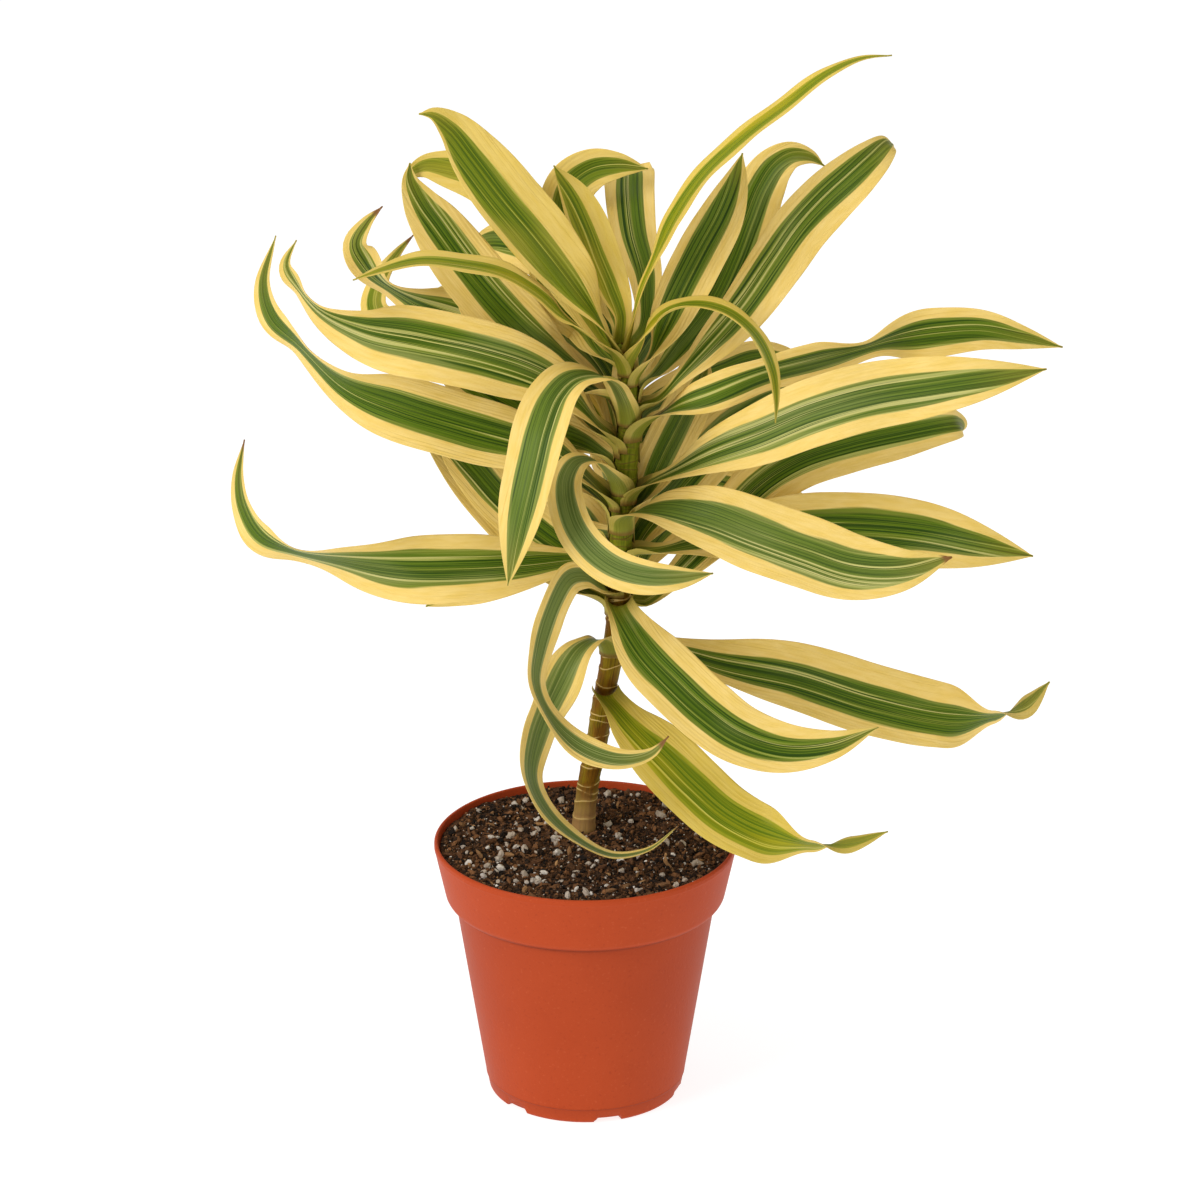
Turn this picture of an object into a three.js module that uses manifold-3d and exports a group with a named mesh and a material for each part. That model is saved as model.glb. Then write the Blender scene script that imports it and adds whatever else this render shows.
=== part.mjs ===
// A variegated dracaena (Dracaena reflexa) growing in a plain plastic nursery pot.
// Millimetres, +Z up. The pot stands on z = 0 with its centre on the origin, and -Y is the side the leaves face.
import * as THREE from "three";
import { mergeVertices } from "three/addons/utils/BufferGeometryUtils.js";
import Module from "manifold-3d";

const wasm = await Module();
wasm.setup();

// ---------------------------------------------------------------- driving sizes

const RIM_RADIUS = 76; // a 6 inch grower pot
const POT_HEIGHT = 135;
const COLLAR_HEIGHT = 30;
const COLLAR_FOOT_RADIUS = 70.3;
const BODY_TOP_RADIUS = 65.8;
const FOOT_RADIUS = 48.4;
const WALL = 1.7;
const FLOOR_TOP = 5;
const FOOT_RING_HEIGHT = 3;
const CENTRE_DISC_RADIUS = 30;
const GROOVE_OUTER_RADIUS = 42;
const NOTCH_COUNT = 6;
const NOTCH_WIDTH = 14;
const FIRST_NOTCH_DEG = -76;
const POT_SEGMENTS = 48;

const SOIL_LEVEL = 132.4;
const SOIL_RELIEF = 1.6;
const SOIL_RINGS = 7;
const SOIL_SEGMENTS = 40;
const STEM_HOLE_CLEARANCE = 0.45; // a hole of flat sides needs more room than FIT_GAP
const STEM_HOLE_SIDES = 20;
const FIT_GAP = 0.3; // between pieces that touch

const STEM_RADIUS = 5.65;
const STEM_SIDES = 14;
// The stem's middle line from its buried foot to the growing tip: it leans back, then to the right.
const STEM_ROUTE = [
  [-1, 21, 91], [-1, 21, 132], [2, 20, 159], [6, 19, 181], [9, 18, 203], [13, 17, 225], [16, 16, 247],
  [17.5, 15, 275], [18, 14, 301], [20, 12, 322], [21, 11, 339], [22, 10, 355], [22.2, 9, 368], [20, 8, 381],
  [17, 8, 394],
];
const STEM_TAPER_FROM = 345; // height above which the soft tip narrows
const STEM_TIP_RADIUS = 2.4;

const BLADE_THICK = 0.8;
const EDGE_THICK = 0.62;
const BLADE_STEPS = 10; // unless a leaf that curls or twists asks for more
const BLADE_COLUMNS = 5;
const TIP_WIDTH = 1.4;
const BASE_WRAP_DEG = 46; // how far a leaf base reaches round the stem, each way
const CHANNEL_DEG = 13; // the same for the shallow channel of the open blade
const BASE_CLEARANCE = 0.92; // stem surface to the middle of a leaf base
const BASE_RISE = 3; // a leaf base climbs the stem this far before the blade bends away, unless its row says less
const LIGHT = new THREE.Vector3(0.05, -0.86, 0.5).normalize(); // the blades turn their upper faces this way

// One row for each leaf, roughly from the lowest to the growing tip. node is [height, compass angle] of its base on the
// stem, with 0 to the right (+X) and -90 to the front. route holds the points its midrib passes through after that,
// and turn adds a twist in degrees at fractions of its length.
const LEAVES = [
  { node: [207, -86], rise: 0.8, wide: 33, steps: 14, peak: 0.3, turn: [[0.6, 0], [0.78, 80], [0.9, 140], [1, 150]],
    route: [[11, 5, 208.5], [15, -1, 206.5], [24, -9, 199], [39, -18, 187], [53, -26, 175], [70, -33, 162],
      [90, -37, 153], [113, -39, 149], [131, -40, 150], [150, -41, 157]] },
  { node: [229, -110], wide: 23, peak: 0.34, steps: 14, turn: [[0.15, 0], [0.35, -42], [0.55, -62], [1, -72]],
    route: [[7, 4, 241], [-3, -9, 241], [-14, -21, 225], [-24, -31, 204], [-27, -37, 185], [-20, -41, 169],
      [-5, -45, 155], [14, -46, 146], [32, -45, 149], [46, -43, 161]] },
  { node: [233, 15], wide: 37, steps: 13, turn: [[0.72, 0], [0.85, 80], [0.94, 150], [1, 160]],
    route: [[35, 20, 233], [65, 22, 223], [105, 28, 212], [145, 32, 197], [185, 35, 187], [210, 36, 188],
      [222, 36, 192], [234, 35, 206]] },
  { node: [261, -150], wide: 19, steps: 15, turn: [[0.15, 0], [0.38, -42], [0.6, -64], [0.8, -24], [1, -20]],
    route: [[6, -3, 273], [0, -14, 282], [-8, -26, 285], [-15, -36, 276], [-22, -44, 256], [-24, -49, 239],
      [-17, -55, 224], [-3, -60, 211], [16, -63, 205], [32, -63, 208], [41, -62, 217]] },
  { node: [256, -88], rise: 0.8, wide: 33, peak: 0.29, steps: 13,
    route: [[17, 2, 258.5], [20, -6, 256], [30, -18, 244], [44, -28, 232], [59, -36, 220], [76, -41, 209],
      [98, -44, 203], [121, -45, 205], [144, -46, 215]] },
  { node: [251, 152], wide: 28,
    route: [[-6, 29, 261], [-22, 35, 276], [-37, 39, 292], [-50, 41, 307], [-63, 43, 322], [-76, 44, 336],
      [-84, 44, 345]] },
  { node: [250, 64], wide: 30,
    route: [[22, 34, 261], [34, 60, 275], [50, 90, 279], [66, 118, 267], [76, 140, 245]] },
  { node: [253, 20], wide: 29,
    route: [[30, 18, 256], [45, 22, 268], [66, 25, 290], [86, 28, 313], [106, 30, 326], [131, 32, 334],
      [159, 34, 340], [181, 35, 344], [187, 45, 340], [188, 60, 330]] },
  { node: [261, 110], wide: 30,
    route: [[11, 36, 267], [2, 62, 275], [-8, 92, 274], [-16, 118, 259], [-22, 138, 237]] },
  { node: [267, 150], wide: 28,
    route: [[2, 21, 275], [-23, 28, 291], [-41, 32, 306], [-54, 34, 321], [-67, 36, 335], [-80, 36, 345]] },
  { node: [270, 52], wide: 30,
    route: [[27, 29, 287], [40, 33, 304], [55, 33, 323], [71, 34, 341], [86, 35, 352], [97, 36, 358],
      [103, 42, 361], [106, 52, 358]] },
  { node: [276, -165], wide: 35, steps: 14, peak: 0.32, turn: [[0.32, 0], [0.69, -86], [0.8, -58], [1, -55]],
    route: [[0, 8, 282], [-30, 0, 282], [-60, -4, 282], [-90, -6, 283], [-118, -6, 287], [-145, -4, 292],
      [-160, -2, 299], [-168, 0, 313], [-170, 2, 327], [-167, 4, 347]] },
  { node: [279, -5], wide: 37,
    route: [[36, 14, 284], [60, 13, 290], [95, 12, 296], [130, 12, 297], [165, 12, 294], [195, 12, 288],
      [222, 11, 283]] },
  { node: [285, 118], wide: 30,
    route: [[4, 38, 284], [-19, 59, 266], [-40, 78, 251], [-64, 92, 235], [-82, 100, 221]] },
  { node: [289, 78], wide: 30,
    route: [[19, 47, 304], [48, 66, 299], [80, 83, 287], [111, 95, 270], [138, 103, 252]] },
  { node: [295, -72], wide: 37, steps: 13,
    route: [[20, 3, 305], [27, -7, 314], [41, -15, 318], [61, -25, 317], [83, -33, 311], [107, -41, 305],
      [130, -46, 299], [153, -49, 299], [178, -50, 306]] },
  { node: [294, 88], wide: 30,
    route: [[20, 36, 307], [20, 62, 316], [18, 94, 310], [15, 123, 291], [13, 143, 266]] },
  { node: [300, 135], wide: 30,
    route: [[0, 34, 313], [-30, 56, 325], [-62, 75, 331], [-95, 90, 333], [-120, 98, 329]] },
  { node: [302, 20], wide: 24,
    route: [[30, 17, 315], [38, 19, 333], [47, 21, 351], [55, 23, 367], [61, 24, 382]] },
  { node: [307, 178], wide: 34, steps: 14, peak: 0.36, turn: [[0.4, 0], [0.73, -84], [0.84, -56], [1, -50]],
    route: [[5, 11, 320], [-15, 8, 339], [-37, 6, 346], [-60, 5, 353], [-90, 5, 363], [-118, 6, 375],
      [-141, 8, 397], [-152, 10, 408], [-156, 11, 425], [-150, 13, 449]] },
  { node: [311, -20], wide: 34,
    route: [[30, 8, 321], [45, 1, 332], [62, -7, 344], [85, -17, 357], [110, -25, 371], [138, -32, 382],
      [168, -37, 389], [195, -39, 394], [222, -40, 399]] },
  { node: [318, 104], wide: 30,
    route: [[22, 44, 333], [52, 66, 335], [86, 84, 330], [117, 95, 323], [145, 101, 313]] },
  { node: [316, -118], wide: 19, steps: 14, light: 0.5, peak: 0.64,
    route: [[13, 1, 329], [5, -7, 340], [-4, -17, 343], [-9, -30, 339], [-9, -42, 332], [-5, -52, 322],
      [3, -60, 313], [15, -66, 306], [30, -70, 303], [47, -70, 303], [62, -69, 305]] },
  { node: [321, 104], wide: 22, steps: 14, turn: [[0.6, 0], [0.75, -40], [1, -40]],
    route: [[10, 38, 337], [-8, 58, 353], [-41, 72, 362], [-70, 82, 371], [-95, 86, 375], [-105, 87, 388],
      [-102, 87, 402], [-94, 87, 415], [-85, 87, 426]] },
  { node: [325, 145], wide: 28,
    route: [[2, 27, 335], [-15, 34, 340], [-33, 37, 350], [-50, 40, 360], [-66, 43, 370], [-80, 47, 377]] },
  { node: [332, 95], wide: 30,
    route: [[18, 32, 346], [14, 58, 359], [8, 88, 356], [2, 114, 340], [-3, 134, 315]] },
  { node: [336, 152], wide: 28, steps: 14, turn: [[0.5, 0], [0.74, -84], [0.86, -35], [1, -30]],
    route: [[3, 22, 349], [-12, 35, 367], [-30, 47, 382], [-60, 57, 391], [-85, 61, 400], [-102, 63, 410],
      [-109, 64, 419], [-113, 65, 428], [-108, 66, 438], [-100, 66, 447]] },
  { node: [339, -175], wide: 36, steps: 14, peak: 0.44, turn: [[0.5, 0], [0.86, -84], [0.93, -56], [1, -50]],
    route: [[6, 8, 353], [-8, 3, 371], [-25, -1, 383], [-50, -5, 393], [-80, -8, 401], [-108, -10, 408],
      [-128, -10, 418], [-139, -9, 431], [-144, -8, 441], [-139, -6, 453]] },
  { node: [345, -30], wide: 27, steps: 14, turn: [[0.05, 0], [0.2, 52], [0.46, 58], [0.57, 80], [0.72, 22], [1, 12]],
    route: [[32, 6, 355], [45, 4, 364], [62, 1, 372], [85, 1, 382], [112, -3, 391], [135, -6, 398],
      [150, -7, 403], [172, -8, 407], [192, -8, 408], [212, -8, 404], [232, -8, 399]] },
  { node: [344, 76], wide: 23,
    route: [[30, 36, 352], [52, 54, 357], [70, 66, 360], [86, 74, 363], [102, 80, 359], [120, 86, 347]] },
  { node: [349, 110], wide: 30,
    route: [[10, 44, 371], [-14, 74, 385], [-50, 97, 386], [-84, 106, 373], [-108, 112, 357]] },
  { node: [353, -105], wide: 30, steps: 14, light: 0.5,
    route: [[18, -2, 369], [13, -8, 381], [5, -14, 387], [-6, -24, 389], [-15, -37, 384], [-21, -50, 372],
      [-25, -58, 357], [-29, -65, 341], [-33, -69, 323], [-37, -70, 299]] },
  { node: [356.5, 4], wide: 28, steps: 13, peak: 0.6,
    route: [[36, 11, 364], [47, 12, 376], [60, 13, 390], [78, 15, 411], [93, 15, 434], [105, 13, 453],
      [117, 10, 468], [129, 9, 480], [139, 11, 489], [146, 19, 493], [150, 33, 489]] },
  { node: [359.5, 172], wide: 26,
    route: [[3, 24, 365], [-15, 32, 370], [-32, 38, 380], [-44, 41, 392], [-56, 43, 409], [-66, 45, 425]] },
  { node: [354, 98], wide: 28,
    route: [[21, 34, 369], [33, 60, 383], [40, 90, 383], [46, 115, 367], [50, 132, 345]] },
  { node: [366, 40], wide: 28, steps: 13,
    route: [[36, 26, 374], [49, 31, 390], [63, 33, 409], [73, 36, 430], [80, 38, 449], [86, 39, 465],
      [93, 40, 476], [101, 41, 481], [110, 42, 480], [117, 43, 475]] },
  { node: [368, 172], wide: 32,
    route: [[5, 18.5, 373.5], [-9, 23, 379.5], [-24, 21, 392], [-40, 22, 408], [-58, 23, 430], [-72, 24, 450],
      [-80, 24, 462], [-85, 26, 473], [-85, 29, 481]] },
  { node: [374, -15], wide: 25,
    route: [[32, 8, 387], [38, 5, 402], [48, 4, 425], [57, 3, 444], [66, 2, 462], [72, 2, 478],
      [76, 3, 494]] },
  { node: [371, 90], wide: 28,
    route: [[19, 28, 385], [5, 56, 405], [-20, 82, 417], [-44, 102, 418], [-60, 117, 410]] },
  { node: [379, -135], wide: 26, steps: 13, turn: [[0.1, 0], [0.3, 58], [1, 56]],
    route: [[13, 1, 393], [2, -6, 404], [-10, -13, 416], [-24, -22, 432], [-40, -30, 444], [-58, -38, 451],
      [-78, -45, 455], [-95, -51, 453], [-110, -55, 449]] },
  { node: [378, 143], wide: 22,
    route: [[8, 21, 386], [-1, 38, 395], [-11, 35, 405], [-20, 38, 420], [-26, 40, 434]] },
  { node: [382, -60], wide: 24, steps: 14, turn: [[0.15, 0], [0.35, -60], [1, -64]],
    route: [[25.5, -1, 395], [31, -8, 409], [41, -17, 421], [55, -30, 428], [70, -44, 428], [82, -56, 420],
      [89, -65, 407], [91, -70, 394], [91, -72, 383]] },
  { node: [385, 128], wide: 28, steps: 13,
    route: [[9, 13, 395], [-1, 18, 411], [-17, 24, 439], [-35, 28, 463], [-51, 30, 473], [-66, 31, 477],
      [-78, 32, 478], [-85, 32, 474], [-87, 31, 469]] },
  { node: [387, -160], wide: 32,
    route: [[12, 3, 398], [6, 0, 412], [-6, -4, 433], [-22, -8, 456], [-38, -11, 477], [-52, -13, 497],
      [-63, -14, 512], [-72, -15, 519], [-79, -15, 519]] },
  { node: [388, 52], wide: 25,
    route: [[29, 18, 401], [30, 28, 421], [24, 43, 441], [22, 57, 456], [22, 73, 462], [21, 91, 454],
      [20, 108, 432], [19, 118, 407]] },
  { node: [391, -10], wide: 21, steps: 13, turn: [[0.1, 0], [0.3, -60], [1, -56]],
    route: [[23, 4, 403], [26, -3, 422], [33, -9, 442], [44, -14, 468], [58, -17, 490], [76, -18, 508],
      [97, -18, 525], [116, -18, 540], [131, -18, 547], [146, -18, 549]] },
  { node: [393, 92], wide: 26, steps: 13,
    route: [[16, 25, 402], [9, 30, 421], [-4, 39, 438], [-10, 44, 449], [-7, 47, 463], [3, 49, 471],
      [16, 50, 473], [31, 51, 471]] },
  { node: [395, 70], wide: 20,
    route: [[19, 12, 408], [14, 12, 423], [8, 12, 438], [2, 13, 454], [-5, 14, 469], [-15, 15, 484]] },
];

// ---------------------------------------------------------------- small helpers

const radians = THREE.MathUtils.degToRad;
const mix = THREE.MathUtils.lerp;
const ease = THREE.MathUtils.smoothstep;

function curveThrough(points) {
  return new THREE.CatmullRomCurve3(points.map((p) => new THREE.Vector3(...p)), false, "centripetal");
}

function toSolid(geometry) {
  const bare = geometry.clone();
  bare.deleteAttribute("normal");
  bare.deleteAttribute("uv");
  const merged = mergeVertices(bare, 1e-4);
  return new wasm.Manifold(new wasm.Mesh({
    numProp: 3,
    vertProperties: new Float32Array(merged.attributes.position.array),
    triVerts: new Uint32Array(merged.index.array),
  }));
}

function fromSolid(solid) {
  const mesh = solid.getMesh();
  const geometry = new THREE.BufferGeometry();
  geometry.setAttribute("position", new THREE.BufferAttribute(new Float32Array(mesh.vertProperties), 3));
  geometry.setIndex(new THREE.BufferAttribute(new Uint32Array(mesh.triVerts), 1));
  geometry.computeVertexNormals();
  return geometry;
}

function turnedAboutZ(profile, segments) {
  // The lathe turns about its own Y, so the result is stood up on Z.
  const points = profile.map(([r, z]) => new THREE.Vector2(r, z));
  return new THREE.LatheGeometry(points, segments).rotateX(Math.PI / 2);
}

// ---------------------------------------------------------------- pot

function potBodyRadius(z) {
  return mix(FOOT_RADIUS + 0.9, BODY_TOP_RADIUS, z / (POT_HEIGHT - COLLAR_HEIGHT));
}

function potGeometry() {
  const shoulder = POT_HEIGHT - COLLAR_HEIGHT;
  const outside = [
    [0, 0], [CENTRE_DISC_RADIUS, 0], [CENTRE_DISC_RADIUS + 1, FOOT_RING_HEIGHT],
    [GROOVE_OUTER_RADIUS - 0.5, FOOT_RING_HEIGHT], [GROOVE_OUTER_RADIUS, 0], [FOOT_RADIUS - 0.8, 0],
    [FOOT_RADIUS + 0.6, 1.2], [potBodyRadius(shoulder - 1.5), shoulder - 1.5],
    [COLLAR_FOOT_RADIUS - 0.8, shoulder], [COLLAR_FOOT_RADIUS, shoulder + 0.8],
    [RIM_RADIUS, POT_HEIGHT - 1], [RIM_RADIUS - 0.4, POT_HEIGHT],
  ];
  const inside = [
    [RIM_RADIUS - WALL, POT_HEIGHT], [RIM_RADIUS - WALL - 0.3, POT_HEIGHT - 1],
    [COLLAR_FOOT_RADIUS - WALL, shoulder + 2], [potBodyRadius(shoulder) - WALL, shoulder - 1],
    [potBodyRadius(FLOOR_TOP + 2) - WALL, FLOOR_TOP + 2], [FOOT_RADIUS - WALL - 1.2, FLOOR_TOP], [0, FLOOR_TOP],
  ];
  let pot = toSolid(turnedAboutZ([...outside, ...inside], POT_SEGMENTS));
  const reach = FOOT_RADIUS - GROOVE_OUTER_RADIUS + 8;
  for (let i = 0; i < NOTCH_COUNT; i += 1) {
    const notch = new THREE.BoxGeometry(reach, NOTCH_WIDTH, 2 * FOOT_RING_HEIGHT)
      .translate(GROOVE_OUTER_RADIUS - 1 + reach / 2, 0, 0)
      .rotateZ(radians(FIRST_NOTCH_DEG + (i * 360) / NOTCH_COUNT));
    pot = pot.subtract(toSolid(notch));
  }
  return fromSolid(pot);
}

// ---------------------------------------------------------------- stem

const stemCurve = curveThrough(STEM_ROUTE);

function stemPlace(height) {
  // The stem climbs all the way, so the fraction of its curve at a height is found by halving.
  let low = 0;
  let high = 1;
  for (let i = 0; i < 30; i += 1) {
    const middle = (low + high) / 2;
    if (stemCurve.getPoint(middle).z < height) low = middle;
    else high = middle;
  }
  return stemCurve.getPoint(low);
}

function stemRadius(height) {
  const top = STEM_ROUTE[STEM_ROUTE.length - 1][2];
  const soft = Math.max(0, (height - STEM_TAPER_FROM) / (top - STEM_TAPER_FROM));
  return mix(STEM_RADIUS, STEM_TIP_RADIUS, soft);
}

function stemGeometry() {
  const bottom = STEM_ROUTE[0][2];
  const top = STEM_ROUTE[STEM_ROUTE.length - 1][2];
  const heights = [bottom, SOIL_LEVEL + 2];
  for (let z = SOIL_LEVEL + 12; z < top - 6; z += 11) heights.push(z);
  heights.push(top);
  const positions = [];
  const index = [];
  for (const z of heights) {
    const centre = stemPlace(z);
    for (let k = 0; k < STEM_SIDES; k += 1) {
      const angle = (2 * Math.PI * k) / STEM_SIDES;
      const r = stemRadius(z);
      positions.push(centre.x + r * Math.cos(angle), centre.y + r * Math.sin(angle), z);
    }
  }
  const rings = heights.length;
  for (let i = 0; i < rings - 1; i += 1) {
    for (let k = 0; k < STEM_SIDES; k += 1) {
      const a = i * STEM_SIDES + k;
      const b = i * STEM_SIDES + ((k + 1) % STEM_SIDES);
      index.push(a, b, a + STEM_SIDES, b, b + STEM_SIDES, a + STEM_SIDES);
    }
  }
  const foot = positions.length / 3;
  positions.push(...stemPlace(bottom).toArray().slice(0, 2), bottom);
  positions.push(...stemPlace(top).toArray().slice(0, 2), top + 2);
  for (let k = 0; k < STEM_SIDES; k += 1) {
    const next = (k + 1) % STEM_SIDES;
    index.push(foot, next, k);
    index.push(foot + 1, (rings - 1) * STEM_SIDES + k, (rings - 1) * STEM_SIDES + next);
  }
  const geometry = new THREE.BufferGeometry();
  geometry.setAttribute("position", new THREE.Float32BufferAttribute(positions, 3));
  geometry.setIndex(index);
  geometry.computeVertexNormals();
  return geometry;
}

// ---------------------------------------------------------------- soil

function soilGeometry() {
  // Potting mix down to the pot's floor, with a gently uneven top and a plain hole for the stem.
  const shoulder = POT_HEIGHT - COLLAR_HEIGHT;
  const edge = (z) => z > shoulder + 2
    ? mix(COLLAR_FOOT_RADIUS, RIM_RADIUS, (z - shoulder) / COLLAR_HEIGHT) - WALL - 1.3
    : potBodyRadius(z) - WALL - 0.6;
  const profile = [[0, FLOOR_TOP + FIT_GAP], [FOOT_RADIUS - WALL - 2.6, FLOOR_TOP + FIT_GAP],
    [edge(FLOOR_TOP + 3), FLOOR_TOP + 3], [edge(shoulder - 1.4), shoulder - 1.4],
    [edge(shoulder + 3), shoulder + 3], [edge(SOIL_LEVEL), SOIL_LEVEL]];
  for (let i = SOIL_RINGS - 1; i >= 0; i -= 1) {
    profile.push([(edge(SOIL_LEVEL) * i) / SOIL_RINGS, SOIL_LEVEL]);
  }
  const geometry = turnedAboutZ(profile, SOIL_SEGMENTS);
  const spot = geometry.attributes.position;
  for (let i = 0; i < spot.count; i += 1) {
    if (spot.getZ(i) < SOIL_LEVEL - 0.01) continue;
    const x = spot.getX(i);
    const y = spot.getY(i);
    const swell = Math.sin(0.11 * x + 0.6) * Math.cos(0.13 * y) + 0.5 * Math.sin(0.23 * x - 0.19 * y);
    spot.setZ(i, SOIL_LEVEL + SOIL_RELIEF * 0.5 * swell);
  }
  const [x, y, bottom] = STEM_ROUTE[0];
  const holeRadius = STEM_RADIUS + STEM_HOLE_CLEARANCE;
  const hole = new THREE.CylinderGeometry(holeRadius, holeRadius, POT_HEIGHT, STEM_HOLE_SIDES)
    .rotateX(Math.PI / 2)
    .translate(x, y, bottom - FIT_GAP + POT_HEIGHT / 2);
  return fromSolid(toSolid(geometry).subtract(toSolid(hole)));
}

// ---------------------------------------------------------------- leaves

function bladeWidth(s, wide, neck, peak) {
  // A narrow clasping neck, the widest place at peak and a long pointed tip.
  if (s < peak) return neck + (wide - neck) * Math.sin((Math.PI / 2) * (s / peak)) ** 1.3;
  return Math.max(TIP_WIDTH, wide * Math.cos((Math.PI / 2) * ((s - peak) / (1 - peak)) ** 1.6));
}

function turnAt(s, turn) {
  if (!turn || s <= turn[0][0]) return 0;
  for (let i = 1; i < turn.length; i += 1) {
    const [from, a] = turn[i - 1];
    const [to, b] = turn[i];
    if (s <= to) return radians(mix(a, b, ease(s, from, to)));
  }
  return radians(turn[turn.length - 1][1]);
}

function angleAbout(axis, from, to) {
  const cross = new THREE.Vector3().crossVectors(from, to);
  return Math.atan2(cross.dot(axis), from.dot(to));
}

function leafGeometry({ node, route, wide, turn, rise = BASE_RISE, light = 1, peak = 0.52, steps = BLADE_STEPS }) {
  const [height, compass] = node;
  const heart = stemPlace(height);
  const outward = new THREE.Vector3(Math.cos(radians(compass)), Math.sin(radians(compass)), 0);
  const clasp = stemRadius(height) + BASE_CLEARANCE;
  const base = heart.clone().addScaledVector(outward, clasp);
  const risen = base.clone().addScaledVector(outward, 0.25).add(new THREE.Vector3(0, 0, rise));
  const curve = curveThrough([base.toArray(), risen.toArray(), ...route]);
  const neck = 2 * clasp * Math.sin(radians(BASE_WRAP_DEG));

  const positions = [];
  let across = null;
  const fine = 8; // the frame is carried along in smaller steps than the rows
  let last = null;
  for (let i = 0; i <= steps * fine; i += 1) {
    const s = i / (steps * fine);
    const along = curve.getTangentAt(s);
    if (across === null) across = new THREE.Vector3(-outward.y, outward.x, 0);
    else across.applyQuaternion(new THREE.Quaternion().setFromUnitVectors(last, along));
    across.addScaledVector(along, -across.dot(along)).normalize();
    last = along;
    if (i % fine !== 0) continue;

    const face = new THREE.Vector3().crossVectors(along, across).normalize();
    const lit = LIGHT.clone().addScaledVector(along, -LIGHT.dot(along)).normalize();
    const swing = angleAbout(along, face, lit) * light * ease(s, 0.04, 0.36) + turnAt(s, turn);
    face.applyAxisAngle(along, swing);
    const side = across.clone().applyAxisAngle(along, swing);

    const centre = curve.getPointAt(s);
    const width = bladeWidth(s, wide, neck, peak);
    const cup = radians(mix(BASE_WRAP_DEG, CHANNEL_DEG, ease(s, 0, 0.25)));
    const bend = width / 2 / Math.sin(cup);
    for (const under of [0, 1]) {
      for (let k = 0; k < BLADE_COLUMNS; k += 1) {
        const v = (2 * k) / (BLADE_COLUMNS - 1) - 1;
        const half = mix(BLADE_THICK, EDGE_THICK, Math.abs(v)) / 2;
        const radius = bend + (under ? half : -half);
        const lateral = radius * Math.sin(cup * v);
        const lift = bend - radius * Math.cos(cup * v);
        const p = centre.clone().addScaledVector(side, lateral).addScaledVector(face, lift);
        positions.push(p.x, p.y, p.z);
      }
    }
  }
  const geometry = new THREE.BufferGeometry();
  geometry.setAttribute("position", new THREE.Float32BufferAttribute(positions, 3));
  geometry.setIndex(bladeTriangles(steps + 1));
  geometry.computeVertexNormals();
  return geometry;
}

function bladeTriangles(rows) {
  const index = [];
  const at = (row, under, k) => (row * 2 + under) * BLADE_COLUMNS + k;
  const quad = (a, b, c, d) => index.push(a, b, c, a, c, d);
  const right = BLADE_COLUMNS - 1;
  for (let row = 0; row < rows - 1; row += 1) {
    for (let k = 0; k < right; k += 1) {
      quad(at(row, 0, k), at(row + 1, 0, k), at(row + 1, 0, k + 1), at(row, 0, k + 1));
      index.push(at(row, 1, k), at(row + 1, 1, k + 1), at(row + 1, 1, k));
      index.push(at(row, 1, k), at(row, 1, k + 1), at(row + 1, 1, k + 1));
    }
    quad(at(row, 1, 0), at(row + 1, 1, 0), at(row + 1, 0, 0), at(row, 0, 0));
    quad(at(row, 0, right), at(row + 1, 0, right), at(row + 1, 1, right), at(row, 1, right));
  }
  for (let k = 0; k < right; k += 1) {
    quad(at(0, 0, k), at(0, 0, k + 1), at(0, 1, k + 1), at(0, 1, k));
    quad(at(rows - 1, 1, k), at(rows - 1, 1, k + 1), at(rows - 1, 0, k + 1), at(rows - 1, 0, k));
  }
  return index;
}

// ---------------------------------------------------------------- the plant

const plastic = new THREE.MeshStandardMaterial({ color: 0xb9502c, roughness: 0.5, metalness: 0 });
const pottingMix = new THREE.MeshStandardMaterial({ color: 0x2e211a, roughness: 0.95, metalness: 0 });
const bark = new THREE.MeshStandardMaterial({ color: 0x5c4a22, roughness: 0.75, metalness: 0 });
const foliage = new THREE.MeshStandardMaterial({ color: 0x6d8a2c, roughness: 0.45, metalness: 0 });

function piece(name, geometry, material) {
  const mesh = new THREE.Mesh(geometry, material);
  mesh.name = name;
  return mesh;
}

const plant = new THREE.Group();
plant.add(piece("pot", potGeometry(), plastic));
plant.add(piece("soil", soilGeometry(), pottingMix));
plant.add(piece("stem", stemGeometry(), bark));
LEAVES.forEach((leaf, i) => {
  plant.add(piece(`leaf_${String(i + 1).padStart(2, "0")}`, leafGeometry(leaf), foliage));
});

export default plant;
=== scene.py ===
"""Potted dracaena: arching cream-edged leaves on a thin stem, in a plastic nursery pot.

The shapes are worked out in millimetres, in the frame of the solids, and made metres as they go into a mesh.
"""

import math

import bpy
import numpy as np
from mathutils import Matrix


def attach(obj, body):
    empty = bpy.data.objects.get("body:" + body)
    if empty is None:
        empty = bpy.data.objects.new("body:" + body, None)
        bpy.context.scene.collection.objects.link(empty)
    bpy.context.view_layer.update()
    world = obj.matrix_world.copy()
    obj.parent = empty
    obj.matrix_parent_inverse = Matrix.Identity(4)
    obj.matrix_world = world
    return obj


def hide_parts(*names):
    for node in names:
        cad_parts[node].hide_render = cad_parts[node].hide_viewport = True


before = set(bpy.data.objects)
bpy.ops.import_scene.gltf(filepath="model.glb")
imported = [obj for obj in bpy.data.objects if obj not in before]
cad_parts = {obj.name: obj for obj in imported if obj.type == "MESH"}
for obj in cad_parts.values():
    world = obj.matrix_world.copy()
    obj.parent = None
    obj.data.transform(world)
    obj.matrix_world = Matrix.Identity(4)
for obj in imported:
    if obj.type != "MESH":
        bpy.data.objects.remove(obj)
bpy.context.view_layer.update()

MM = 0.001
CURVE_STEPS = 60  # between two points of a route

# ------------------------------------------------------------------ sizes, in millimetres

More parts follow.
